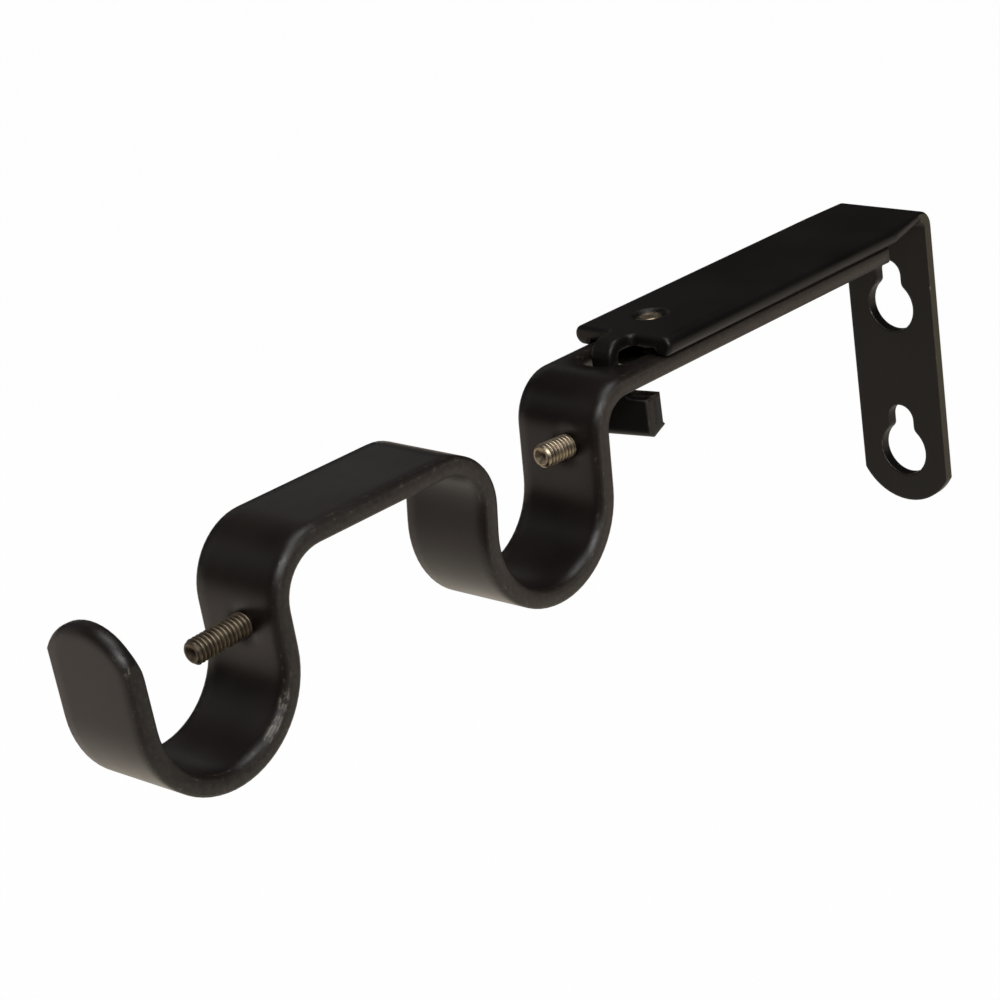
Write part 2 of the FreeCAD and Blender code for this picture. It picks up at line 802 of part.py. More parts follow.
def make_set_screw(name, length):
    """A headless screw: cup point at z = 0, key socket at the far end."""
    body = new_body(name)
    chamfer = read("SetScrewChamfer")
    sketch = new_sketch(body, "screw_profile", "XZ_Plane")
    draw_outline(sketch, [
        (Size(0, "0"), read("SetScrewCupDepth")),
        (read("SetScrewCup") / 2, Size(0, "0")),
        (set_screw_radius - chamfer, Size(0, "0")),
        (set_screw_radius, chamfer),
        (set_screw_radius, length - chamfer),
        (set_screw_radius - chamfer, length),
        (Size(0, "0"), length),
    ])
    revolve(body, "shank", sketch)
    socket = hex_socket(body, read("SetScrewKey"), read("SetScrewKeyDepth"))
    socket.AttachmentOffset = Placement(Vector(0, 0, float(length - read("SetScrewKeyDepth"))), Rotation())
    bind(socket, "AttachmentOffset.Base.z", length - read("SetScrewKeyDepth"))
    return body


def make_clamp_screw():
    """A low-headed screw that stands on its head: the key socket opens downwards."""
    body = new_body("clamp_screw")
    shank = read("ClampDiameter") / 2
    head = read("ClampHeadDiameter") / 2
    head_height = read("ClampHeadHeight")
    edge = read("ClampHeadEdge")
    chamfer = read("ClampChamfer")
    length = top - read("ClampBelowTop") - washer_bottom + head_height
    sketch = new_sketch(body, "screw_profile", "XZ_Plane")
    draw_outline(sketch, [
        (Size(0, "0"), Size(0, "0")),
        (head - edge, Size(0, "0")),
        (head, edge),
        (head, head_height),
        (shank, head_height),
        (shank, length - chamfer),
        (shank - chamfer, length),
        (Size(0, "0"), length),
    ])
    revolve(body, "shank", sketch)
    hex_socket(body, read("ClampKey"), read("ClampKeyDepth"))
    place_upright(body, clamp_x, clamp_y, washer_bottom - head_height)
    return body


def make_clamp_washer():
    body = new_body("clamp_washer")
    sketch = new_sketch(body, "washer_outline", "XY_Plane")
    draw_circle(sketch, Size(0, "0"), Size(0, "0"), read("WasherDiameter") / 2)
    draw_circle(sketch, Size(0, "0"), Size(0, "0"), read("ClampDiameter") / 2 + read("WasherClearance"))
    pad(body, "washer", sketch, read("WasherThickness"))
    place_upright(body, clamp_x, clamp_y, washer_bottom)
    return body


def place_upright(body, x, y, z):
    body.Placement = Placement(Vector(float(x), float(y), float(z)), Rotation())
    bind(body, "Placement.Base.x", x)
    bind(body, "Placement.Base.y", y)
    bind(body, "Placement.Base.z", z)


# The whole bracket
steps = arm_path()
pieces = [make_wall_bracket(), make_hook_arm(steps)]
set_screws = (
    ("rear_set_screw", steps[REAR_LEG], "RearSetScrew"),
    ("front_set_screw", steps[FRONT_LEG], "FrontSetScrew"),
)
for name, leg, words in set_screws:
    screw = make_set_screw(name, read(words + "Length"))
    tip_y, tip_z, tilt = screw_seat(leg, read(words + "Out"))
    place_screw(screw, "Placement", read(words + "Side"), tip_y, tip_z, tilt)
    pieces.append(screw)
pieces.append(make_clamp_screw())
pieces.append(make_clamp_washer())
doc.recompute()

# Every object has to be sound before anything is written
for item in doc.Objects:
    if "Invalid" in item.State or "Error" in item.State:
        raise ValueError("%s failed: %s" % (item.Name, item.State))
for piece in pieces:
    if piece.Shape.isNull() or not piece.Shape.isValid() or len(piece.Shape.Solids) != 1:
        raise ValueError(piece.Label + " is not one sound solid")

os.makedirs("parts", exist_ok=True)
for piece in pieces:
    piece.Shape.exportStep(os.path.join("parts", piece.Label + ".step"))
    box = piece.Shape.BoundBox
    print("%-16s volume %9.2f mm3   X %7.2f %7.2f   Y %8.2f %8.2f   Z %7.2f %7.2f" % (
        piece.Label, piece.Shape.Volume, box.XMin, box.XMax, box.YMin, box.YMax, box.ZMin, box.ZMax))
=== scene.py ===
# %% [markdown]
# # A double curtain pole bracket
#
# The real thing is three kinds of part: a folded sheet bracket that hangs on the wall,
# a flat bar bent into two open cradles, and four small steel fittings. The bar and the
# sheet are dipped in a dark brown, nearly black enamel. The screws are bare metal.
#
# The construction arrives finished, as a fixed frame. This lesson adds what a frame
# does not have: cut threads, enamel, worn edges, plated metal, light and a camera.

# %% Load the frame
import json
import math

import bmesh
import bpy
from mathutils import Matrix, Vector


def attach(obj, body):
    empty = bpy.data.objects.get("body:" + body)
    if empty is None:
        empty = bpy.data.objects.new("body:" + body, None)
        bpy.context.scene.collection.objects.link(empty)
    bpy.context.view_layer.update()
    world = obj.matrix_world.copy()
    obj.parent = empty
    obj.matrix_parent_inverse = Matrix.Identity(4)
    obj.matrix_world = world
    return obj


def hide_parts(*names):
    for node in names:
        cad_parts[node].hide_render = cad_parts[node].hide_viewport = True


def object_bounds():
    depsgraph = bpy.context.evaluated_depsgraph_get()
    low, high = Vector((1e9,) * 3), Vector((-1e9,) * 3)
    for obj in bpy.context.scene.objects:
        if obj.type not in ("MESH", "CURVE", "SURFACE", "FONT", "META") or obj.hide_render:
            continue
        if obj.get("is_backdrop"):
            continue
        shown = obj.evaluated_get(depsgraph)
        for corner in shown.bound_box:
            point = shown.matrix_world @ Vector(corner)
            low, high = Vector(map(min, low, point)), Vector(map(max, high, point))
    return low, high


MM = 0.001

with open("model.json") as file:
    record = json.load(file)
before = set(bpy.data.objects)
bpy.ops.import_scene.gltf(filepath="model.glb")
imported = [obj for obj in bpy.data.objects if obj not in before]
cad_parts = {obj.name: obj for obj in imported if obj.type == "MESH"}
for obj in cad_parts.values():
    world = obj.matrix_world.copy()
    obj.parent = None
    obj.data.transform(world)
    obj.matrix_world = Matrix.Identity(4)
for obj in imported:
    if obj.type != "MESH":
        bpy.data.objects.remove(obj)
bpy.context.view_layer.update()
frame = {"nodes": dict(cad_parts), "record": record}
scene = bpy.context.scene
scene.view_settings.view_transform = "Standard"
print("nodes:", sorted(frame["nodes"]))

# %% [markdown]
# ## The camera
#
# The camera stands in front of the wall, to the right of the bracket and a little above
# it, about half a metre away. A long lens keeps the bar's edges nearly parallel. The
# three angles and the place were found by matching the bracket's outline and its holes.

# %% Set up the camera
CAMERA_PLACE = (0.3264, -0.4303, 0.1893)
CAMERA_TURN = (69.015, 7.649, 42.716)
CAMERA_LENS = 107.24
CAMERA_SENSOR = 36.0


def make_camera():
    data = bpy.data.cameras.new("studio_camera")
    data.lens = CAMERA_LENS
    data.sensor_width = CAMERA_SENSOR
    data.clip_start = 0.01
    data.clip_end = 20.0
    camera = bpy.data.objects.new("studio_camera", data)
    camera.location = CAMERA_PLACE
    camera.rotation_euler = [math.radians(angle) for angle in CAMERA_TURN]
    scene.collection.objects.link(camera)
    scene.camera = camera
    return camera


camera = make_camera()
print("camera lens", camera.data.lens)

# %% [markdown]
# ## Node helpers
#
# A node tree, for a shader or for geometry, is a small graph. These helpers add a node,
# set its inputs by name and link sockets, so that each tree below reads as a short list
# of what it does.

# %% Helpers that build a tree


def fill_input(tree, node, key, value):
    """Give one input a plain value, or link it where the value is a socket."""
    if isinstance(value, bpy.types.NodeSocket):
        tree.links.new(value, node.inputs[key])
    else:
        node.inputs[key].default_value = value


def add_node(tree, kind, inputs=None, **settings):
    """Add one node, set its attributes, and set its inputs by name or number."""
    node = tree.nodes.new(kind)
    for name, value in settings.items():
        setattr(node, name, value)
    for key, value in (inputs or {}).items():
        fill_input(tree, node, key, value)
    return node


def new_group(name, kind, inputs, outputs):
    """A node group with named sockets. Each input is (name, kind, default)."""
    tree = bpy.data.node_groups.new(name, kind)
    for label, socket_kind, default in inputs:
        socket_type = "NodeSocket" + socket_kind
        socket = tree.interface.new_socket(label, in_out="INPUT", socket_type=socket_type)
        if default is not None:
            socket.default_value = default
    for label, socket_kind in outputs:
        socket_type = "NodeSocket" + socket_kind
        tree.interface.new_socket(label, in_out="OUTPUT", socket_type=socket_type)
    given = tree.nodes.new("NodeGroupInput").outputs
    return tree, given, tree.nodes.new("NodeGroupOutput").inputs


def clear_surface(tree, kind):
    """Empty the tree of a Material or a World, and return what its surface goes to."""
    tree.nodes.clear()
    return tree.nodes.new("ShaderNodeOutput" + kind).inputs["Surface"]


def new_material(name):
    """An empty material, its tree, and the input that its surface goes to."""
    material = bpy.data.materials.new(name)
    material.use_nodes = True
    tree = material.node_tree
    return material, tree, clear_surface(tree, "Material")


def new_principled(name):
    """A material with one Principled BSDF."""
    material, tree, surface = new_material(name)
    shader = tree.nodes.new("ShaderNodeBsdfPrincipled")
    tree.links.new(shader.outputs["BSDF"], surface)
    return material, tree, shader


# %% Helpers that add one node each


def calculate(tree, operation, *values, clamp=False):
    """One Math node, given its operation and its one, two or three values."""
    inputs = dict(enumerate(values))
    node = add_node(tree, "ShaderNodeMath", inputs, operation=operation, use_clamp=clamp)
    return node.outputs["Value"]


def compare(tree, operation, first, second):
    """One Vector Math node that gives a number, such as a distance."""
    node = add_node(tree, "ShaderNodeVectorMath", {0: first, 1: second}, operation=operation)
    return node.outputs["Value"]


def any_of(tree, *masks):
    """A mask that is 1 where one of the masks is."""
    total = masks[0]
    for mask in masks[1:]:
        total = calculate(tree, "MAXIMUM", total, mask)
    return total


def mix_colours(tree, mask, low, high):
    """A colour that is low where the mask is 0 and high where it is 1. The node's sockets
    0, 6 and 7 are its factor and its two colours."""
    node = add_node(tree, "ShaderNodeMix", {0: mask, 6: low, 7: high}, data_type="RGBA")
    return node.outputs[2]


def noise(tree, place, scale, detail, roughness=0.5):
    node = add_node(tree, "ShaderNodeTexNoise", {
        "Vector": place, "Scale": scale, "Detail": detail, "Roughness": roughness,
    })
    return node.outputs["Fac"]


def remap(tree, value, low, high, new_low=0.0, new_high=1.0):
    node = add_node(tree, "ShaderNodeMapRange", {
        "Value": value, "From Min": low, "From Max": high, "To Min": new_low, "To Max": new_high,
    })
    return node.outputs["Result"]


def object_place(tree):
    return add_node(tree, "ShaderNodeTexCoord").outputs["Object"]


def split(tree, vector):
    return add_node(tree, "ShaderNodeSeparateXYZ", {0: vector}).outputs


# %% [markdown]
# ## Soft edges and worn edges
#
# Sheet and bar edges are never sharp, and enamel pulls thin on them. The Bevel node
# rounds the shading normal near an edge without touching the mesh. Where that rounded
# normal leaves the flat one, there is an edge, so the same node also gives a mask for
# wear. Noise breaks the mask up, because paint wears in spots and not in lines. Where
# the part was knocked, the spots grow together until nearly the whole edge is bare.
#
# EDGE_TURN says how far apart the two normals are, as the cosine of their angle, where
# the mask starts and where it is full. BARE_SPOTS does the same for the noise.

# %% Build the edge group
BEVEL_SAMPLES = 8
EDGE_TURN = (0.93, 0.78)
BARE_SPOTS = (0.58, 0.66)
KNOCK_PUSH = 0.14


def build_edge_group():
    tree, given, result = new_group(
        "rounded_edges", "ShaderNodeTree",
        [("Radius", "Float", 0.0004), ("Spot Scale", "Float", 900.0),
         ("Amount", "Float", 0.5), ("Knocks", "Float", 0.0)],
        [("Normal", "Vector"), ("Edge", "Float"), ("Wear", "Float")],
    )
    bevel = add_node(tree, "ShaderNodeBevel", {
        "Radius": given["Radius"],
    }, samples=BEVEL_SAMPLES).outputs["Normal"]
    flat = add_node(tree, "ShaderNodeNewGeometry").outputs["Normal"]
    edge = remap(tree, compare(tree, "DOT_PRODUCT", bevel, flat), *EDGE_TURN)
    spots = noise(tree, object_place(tree), given["Spot Scale"], detail=4.0, roughness=0.65)
    spots = calculate(tree, "MULTIPLY_ADD", given["Knocks"], KNOCK_PUSH, spots)
    amount = calculate(tree, "MAXIMUM", given["Amount"], given["Knocks"])
    worn = calculate(tree, "MULTIPLY", edge, remap(tree, spots, *BARE_SPOTS))
    tree.links.new(bevel, result["Normal"])
    # The Edge mask also sets where the thin enamel paints its light highlight lines.
    tree.links.new(edge, result["Edge"])
    tree.links.new(calculate(tree, "MULTIPLY", worn, amount), result["Wear"])
    return tree


edge_group = build_edge_group()
print("made group", edge_group.name)

# %% [markdown]
# ## Knocks
#
# A few edges were knocked: the rim of the front cradle, the crown of the bar, and the
# plate beside its upper keyhole. The bare patch on the front cradle's rim also stands in
# for part of a painted highlight on that rounded edge. A knock is a soft ball of space,
# which fades in from its size to a share of it. One group makes one, and a material
# holds as many copies of it as it has knocks.

# %% Build the knock group
KNOCK_FADE = (1.0, 0.4)


def build_knock_group():
    tree, given, result = new_group(
        "knock", "ShaderNodeTree",
        [("Centre", "Vector", None), ("Size", "Float", 0.0008)],
        [("Knock", "Float")],
    )
    away = compare(tree, "DISTANCE", object_place(tree), given["Centre"])
    share = calculate(tree, "DIVIDE", away, given["Size"])
    tree.links.new(remap(tree, share, *KNOCK_FADE), result["Knock"])
    return tree


knock_group = build_knock_group()
print("made group", knock_group.name)

# %% Place knocks


def add_knocks(tree, knocks):
    """One mask for several knocks, each given as (centre in mm, size in mm)."""
    mask = 0.0
    for centre, size in knocks:
        node = add_node(tree, "ShaderNodeGroup", node_tree=knock_group)
        node.inputs["Centre"].default_value = [part * MM for part in centre]
        node.inputs["Size"].default_value = size * MM
        mask = calculate(tree, "MAXIMUM", mask, node.outputs["Knock"])
    return mask


# %% [markdown]
# ## Enamel
#
# Dipped enamel is a dark brown film with a slow waviness, fine dust nibs and a soft
# gloss that differs a little from place to place. Broad clouds turn its colour lighter
# and darker, which is partly a painted sheen. Where it is thin, on the edges, it is a
# lighter brown, which also paints a light highlight line along each edge, and in a few
# spots the grey steel shows. The sides of the bar and of the wall plate were cut with a
# shear. The film is thin on their grain, so they look dusty: grey-brown on the bar, and
# nearly olive on the plate. The sides get lighter towards the wall. One function makes
# both enamels, because they differ only in their values.
#
# A finish gives a pair of colours for the film and for the sheared sides, and a pair of
# roughnesses as its gloss. Noise chooses between the two of each pair. The edge radii
# are those of the wall plate and of all that lies in front of it. The sheared sides lie
# beyond a distance from the centre line and behind a Y, which for the bar is far in
# front of it. Radii, places and sizes are in mm.

# %% Choose the enamels' values
# A lighter brown for thin enamel on edges, which also paints light highlight lines.
THIN_ENAMEL_AND_HIGHLIGHT = (0.085, 0.074, 0.062, 1.0)
BARE_STEEL = (0.30, 0.26, 0.21, 1.0)
WALL_PLATE_Y = -4.0
FAR_FRONT_Y = -300.0

BAR_FINISH = {
    "film": ((0.0048, 0.0034, 0.0031, 1.0), (0.0092, 0.0068, 0.0058, 1.0)),
    "sheared": ((0.006, 0.0047, 0.0038, 1.0), (0.036, 0.029, 0.022, 1.0)),
    "gloss": (0.27, 0.37),
    "index": 1.42,
    "edge_radii": (3.5, 3.5),
    "thin_enamel_and_highlight": 0.10,
    "wear": 0.35,
    "sides_beyond": (8.5, FAR_FRONT_Y),
    "knocks": (
        # These two knocks on the front cradle's rim are worn paint and partly a painted highlight
        # of the rounded rim.
        ((9.0, -170.9, 7.4), 2.6),
        ((9.0, -173.4, 3.7), 3.2),
        ((8.5, -198.3, 25.4), 1.8),
        ((9.0, -197.9, 23.6), 1.2),
    ),
}
SHEET_FINISH = {
    "film": ((0.0026, 0.0021, 0.0020, 1.0), (0.0050, 0.0039, 0.0035, 1.0)),
    "sheared": ((0.026, 0.023, 0.014, 1.0), (0.050, 0.044, 0.027, 1.0)),
    "gloss": (0.36, 0.46),
    "index": 1.33,
    "edge_radii": (0.6, 1.1),
    # A strong share, so the sheet's edges show painted highlight lines.
    "thin_enamel_and_highlight": 0.50,
    "wear": 0.25,
    "sides_beyond": (8.0, WALL_PLATE_Y),
    "knocks": (
        ((9.0, -2.1, 19.0), 1.0),
        ((-5.1, -2.1, 12.6), 1.3),
    ),
}

# %% Find the sheared sides
SIDE_LOOK = (0.90, 0.98)


def sheared_sides(tree, where, beyond):
    """A mask for the faces that look along X and lie beyond the two limits, in mm."""
    far_x, far_y = beyond
    looks = split(tree, add_node(tree, "ShaderNodeNewGeometry").outputs["Normal"])["X"]
    side = remap(tree, calculate(tree, "ABSOLUTE", looks), *SIDE_LOOK)
    outside = calculate(tree, "GREATER_THAN", calculate(tree, "ABSOLUTE", where["X"]), far_x * MM)
    behind = calculate(tree, "GREATER_THAN", where["Y"], far_y * MM)
    return calculate(tree, "MULTIPLY", side, calculate(tree, "MULTIPLY", outside, behind))


# %% Choose what both enamels share
# The clouds vary the film colour, partly as a painted sheen, and the gloss.
SHEEN_CLOUD_SCALE = 60.0
GRAIN_SCALE = 1100.0
WAVE_SCALE = 260.0
NIB_SCALE = 2600.0
NOISE_RANGE = (0.3, 0.7)
GRAIN_SHARE = (0.25, 0.75)
SIDE_TONE_Y = (-0.20, -0.02)
SIDE_TONE_SHIFT = (-0.40, 0.55)
SIDE_ROUGHER = 0.18
NIB_HEIGHT = 0.25
GRAIN_HEIGHT = 0.8
BARE_HEIGHT = -0.6
PAINT_BUMP = 0.25
PAINT_DEPTH = 0.00006

# %% Make the enamels


def make_film_colour(tree, where, side, sheen_clouds, grain, edges, finish):
    """The enamel's colour: film with a partly painted sheen, dusty sheared sides, thin edges that
    also paint highlight lines, and bare steel.
    """
    # Clouds mix the two film colours, which partly paints a sheen.
    film = mix_colours(tree, remap(tree, sheen_clouds, *NOISE_RANGE), *finish["film"])
    # The sheared sides get lighter towards the wall and darker towards the front.
    side_tone = remap(tree, where["Y"], *SIDE_TONE_Y, *SIDE_TONE_SHIFT)
    grains = remap(tree, grain, *NOISE_RANGE, *GRAIN_SHARE)
    side_tone = calculate(tree, "ADD", grains, side_tone, clamp=True)
    film = mix_colours(tree, side, film, mix_colours(tree, side_tone, *finish["sheared"]))
    # Thin enamel on the edges, which also paints a light highlight line along them.
    thin_enamel_and_highlight = calculate(tree, "MULTIPLY", edges["Edge"], finish["thin_enamel_and_highlight"])
    film = mix_colours(tree, thin_enamel_and_highlight, film, THIN_ENAMEL_AND_HIGHLIGHT)
    return mix_colours(tree, edges["Wear"], film, BARE_STEEL)


def make_film_height(tree, place, side, grain, bare):
    """The enamel's relief: slow waves, fine nibs, the shear's grain and pits."""
    waves = noise(tree, place, WAVE_SCALE, detail=2.0)
    nibs = noise(tree, place, NIB_SCALE, detail=2.0, roughness=0.6)
    height = calculate(tree, "MULTIPLY_ADD", nibs, NIB_HEIGHT, waves)
    marks = calculate(tree, "MULTIPLY", grain, side)
    height = calculate(tree, "MULTIPLY_ADD", marks, GRAIN_HEIGHT, height)
    return calculate(tree, "MULTIPLY_ADD", bare, BARE_HEIGHT, height)


def make_enamel(name, finish):
    material, tree, shader = new_principled(name)
    place = object_place(tree)
    where = split(tree, place)
    radii = [radius * MM for radius in finish["edge_radii"]]
    in_front = calculate(tree, "LESS_THAN", where["Y"], WALL_PLATE_Y * MM)
    edges = add_node(tree, "ShaderNodeGroup", {
        "Radius": remap(tree, in_front, 0.0, 1.0, *radii),
        "Amount": finish["wear"],
        "Knocks": add_knocks(tree, finish["knocks"]),
    }, node_tree=edge_group).outputs
    sheen_clouds = noise(tree, place, SHEEN_CLOUD_SCALE, detail=3.0)
    grain = noise(tree, place, GRAIN_SCALE, detail=3.0, roughness=0.6)
    side = sheared_sides(tree, where, finish["sides_beyond"])

    colour = make_film_colour(tree, where, side, sheen_clouds, grain, edges, finish)
    tree.links.new(colour, shader.inputs["Base Color"])
    gloss = remap(tree, sheen_clouds, *NOISE_RANGE, *finish["gloss"])
    rough = calculate(tree, "MULTIPLY_ADD", side, SIDE_ROUGHER, gloss)
    tree.links.new(rough, shader.inputs["Roughness"])
    bump = add_node(tree, "ShaderNodeBump", {
        "Strength": PAINT_BUMP, "Distance": PAINT_DEPTH, "Normal": edges["Normal"],
        "Height": make_film_height(tree, place, side, grain, edges["Wear"]),
    })
    tree.links.new(bump.outputs["Normal"], shader.inputs["Normal"])
    shader.inputs["IOR"].default_value = finish["index"]
    return material


enamel_bar = make_enamel("brown_enamel_bar", BAR_FINISH)
enamel_sheet = make_enamel("brown_enamel_sheet", SHEET_FINISH)
print("made", enamel_bar.name, "and", enamel_sheet.name)

# %% [markdown]
# ## Plated steel
#
# The screws are small turned parts. Their plating is a warm grey metal, with painted
# shade that darkens the thread roots. The roots are found by their depth below the
# crests, which the thread step below writes on the mesh as an attribute named depth. The
# front screw is stained a darker brown than the rear one, and the washer is plain steel.

# %% Make the metals
BLOTCH_SCALE = 700.0
BLOTCH_RANGE = (0.35, 0.65)
MARK_SCALE = 5000.0
MARK_BUMP = 0.2
MARK_DEPTH = 0.00002
ROOT_RANGE = (0.25, 0.95)
RECESS_SHADE_SHARE = 0.85
ROUGHNESS_SPREAD = 0.15
# The colour of the painted shade in the thread roots and the socket bottoms.
PAINTED_RECESS_SHADE = (0.05, 0.040, 0.030, 1.0)


def make_metal(name, bright, dull, roughness):
    material, tree, shader = new_principled(name)
    place = object_place(tree)
    blotches = noise(tree, place, BLOTCH_SCALE, detail=4.0, roughness=0.6)
    metal = mix_colours(tree, remap(tree, blotches, *BLOTCH_RANGE), dull, bright)
    depth = add_node(tree, "ShaderNodeAttribute", attribute_name="depth").outputs["Fac"]
    # Painted shade in the thread roots and at the bottom of the cup and key socket.
    recess_shade = calculate(tree, "MULTIPLY", remap(tree, depth, *ROOT_RANGE), RECESS_SHADE_SHARE)
    tree.links.new(mix_colours(tree, recess_shade, metal, PAINTED_RECESS_SHADE), shader.inputs["Base Color"])
    rough = remap(tree, blotches, *NOISE_RANGE, roughness, roughness + ROUGHNESS_SPREAD)
    tree.links.new(rough, shader.inputs["Roughness"])
    marks = noise(tree, place, MARK_SCALE, detail=2.0, roughness=0.6)
    bump = add_node(tree, "ShaderNodeBump", {
        "Strength": MARK_BUMP, "Distance": MARK_DEPTH, "Height": marks,
    })
    tree.links.new(bump.outputs["Normal"], shader.inputs["Normal"])
    shader.inputs["Metallic"].default_value = 1.0
    return material


stained_steel = make_metal(
    "stained_screw_steel", (0.24, 0.195, 0.14, 1.0), (0.14, 0.112, 0.08, 1.0), 0.42)
plated_steel = make_metal(
    "plated_screw_steel", (0.58, 0.48, 0.35, 1.0), (0.34, 0.28, 0.20, 1.0), 0.32)
dull_steel = make_metal(
    "dull_washer_steel", (0.34, 0.31, 0.27, 1.0), (0.20, 0.18, 0.16, 1.0), 0.35)
for metal in (stained_steel, plated_steel, dull_steel):
    print("made", metal.name)

# %% [markdown]
# ## Threads
#
# A thread is a groove that climbs round a shank. It could be swept along a helix and
# cut out, but a rule is simpler: unroll the shank to a flat sheet, and the height of
# the sheet depends only on how far each point lies from the nearest crest line. So the
# tree takes a flat grid, rolls it up, shears it by one pitch a turn so that its rows run
# along the groove, and sets each point's radius from its place between two crests. Rows
# past the ends are pulled back to them and merged, which trims the thread square.

# %% Build the thread tree
ROWS_PER_PITCH = 10
SIDES = 60
CREST_FLAT = 0.14
KEEP_POSITIVE = 2.0
SAME_PLACE = 0.000001


def build_thread_tree():
    tree, given, result = new_group(
        "cut_thread", "GeometryNodeTree",
        [("Crest Radius", "Float", 0.002), ("Thread Depth", "Float", 0.0004),
         ("Pitch", "Float", 0.0008), ("Length", "Float", 0.01),
         ("Chamfer", "Float", 0.0005), ("Material", "Material", None)],
        [("Geometry", "Geometry")],
    )
    pitch = given["Pitch"]
    length = given["Length"]

    # A flat grid, one unit wide and centred, with rows enough for one turn too many.
    turns = calculate(tree, "ADD", calculate(tree, "DIVIDE", length, pitch), 1.0)
    steps = calculate(tree, "CEIL", calculate(tree, "MULTIPLY", turns, ROWS_PER_PITCH))
    grid = add_node(tree, "GeometryNodeMeshGrid", {
        "Size X": 1.0, "Size Y": 1.0,
        "Vertices X": SIDES + 1, "Vertices Y": calculate(tree, "ADD", steps, 1.0),
    }).outputs["Mesh"]
    flat = split(tree, add_node(tree, "GeometryNodeInputPosition").outputs["Position"])
    turn = calculate(tree, "ADD", flat["X"], 0.5)

    # Where each point lies along the shank. The rows climb by one pitch a turn.
    row = calculate(tree, "MULTIPLY", calculate(tree, "ADD", flat["Y"], 0.5), steps)
    climb = calculate(tree, "ADD", calculate(tree, "DIVIDE", row, ROWS_PER_PITCH),
                      calculate(tree, "SUBTRACT", turn, 1.0))
    along = calculate(tree, "MULTIPLY", climb, pitch)
    along = calculate(tree, "MINIMUM", calculate(tree, "MAXIMUM", along, 0.0), length)

    # How deep each point lies between two crests, from 0 to 1.
    crests = calculate(tree, "SUBTRACT", calculate(tree, "DIVIDE", along, pitch), turn)
    between = calculate(tree, "FRACT", calculate(tree, "ADD", crests, KEEP_POSITIVE))
    valley = calculate(tree, "ABSOLUTE", calculate(tree, "MULTIPLY_ADD", between, 2.0, -1.0))
    depth = remap(tree, valley, CREST_FLAT, 1.0 - CREST_FLAT)

    # The radius that this depth gives, no larger than the chamfers at both ends allow.
    radius = calculate(tree, "SUBTRACT", given["Crest Radius"],
                       calculate(tree, "MULTIPLY", depth, given["Thread Depth"]))
    start = calculate(tree, "SUBTRACT", given["Crest Radius"], given["Chamfer"])
    radius = calculate(tree, "MINIMUM", radius, calculate(tree, "ADD", start, along))
    from_end = calculate(tree, "SUBTRACT", length, along)
    radius = calculate(tree, "MINIMUM", radius, calculate(tree, "ADD", start, from_end))

    # The grid rolled up, closed along its seam and trimmed at both ends.
    angle = calculate(tree, "MULTIPLY", turn, 2 * math.pi)
    rolled = add_node(tree, "ShaderNodeCombineXYZ", {
        "X": calculate(tree, "MULTIPLY", radius, calculate(tree, "COSINE", angle)),
        "Y": calculate(tree, "MULTIPLY", radius, calculate(tree, "SINE", angle)),
        "Z": along,
    }).outputs[0]
    named = add_node(tree, "GeometryNodeStoreNamedAttribute", {
        "Geometry": grid, "Name": "depth", "Value": depth,
    }, data_type="FLOAT", domain="POINT").outputs[0]
    shaped = add_node(tree, "GeometryNodeSetPosition", {
        "Geometry": named, "Position": rolled,
    }).outputs[0]
    merged = add_node(tree, "GeometryNodeMergeByDistance", {
        "Geometry": shaped, "Distance": SAME_PLACE,
    }).outputs[0]
    real = add_node(tree, "GeometryNodeRealizeInstances", {"Geometry": merged}).outputs[0]
    done = add_node(tree, "GeometryNodeSetMaterial", {
        "Geometry": real, "Material": given["Material"],
    }).outputs[0]
    tree.links.new(done, result["Geometry"])
    return tree


thread_tree = build_thread_tree()
print("made tree", thread_tree.name, "with", len(thread_tree.nodes), "nodes")

# %% [markdown]
# ## Running a tree
#
# A tree runs as a modifier. Its inputs are set by their identifiers, before Blender
# first evaluates the object. The result is then copied to a plain mesh, and the object
# that carried the modifier is thrown away.

# %% Run the thread tree


def run_tree(tree, values):
    """The plain mesh that a tree makes from the named values."""
    carrier = bpy.data.objects.new("carrier", bpy.data.meshes.new("carrier"))
    scene.collection.objects.link(carrier)
    modifier = carrier.modifiers.new("shape", "NODES")
    modifier.node_group = tree
    for item in tree.interface.items_tree:
        if item.in_out == "INPUT" and item.name in values:
            modifier[item.identifier] = values[item.name]
    graph = bpy.context.evaluated_depsgraph_get()
    mesh = bpy.data.meshes.new_from_object(carrier.evaluated_get(graph))
    bpy.data.objects.remove(carrier)
    return mesh


# %% [markdown]
# ## Ends of a screw
#
# The tree leaves a threaded tube, open at both ends. Each end is closed by drawing its
# rim inwards ring by ring, over the flat, and then down to one point at the bottom of
# the cup or the key socket. A ring is round, or six-sided for a hexagon key. On a screw
# with a head the rings first run outwards, round the head. The bottom gets painted
# shade, so there the attribute depth is 1, as in the thread's roots.

# %% Close the ends


def angle_of(vertex):
    return math.atan2(vertex.co.y, vertex.co.x)


def hexagon_radius(across_flats, angle):
    """How far a hexagon's side lies from its centre in one direction."""
    sixth = math.radians(60)
    return across_flats / 2 / math.cos(angle % sixth - sixth / 2)


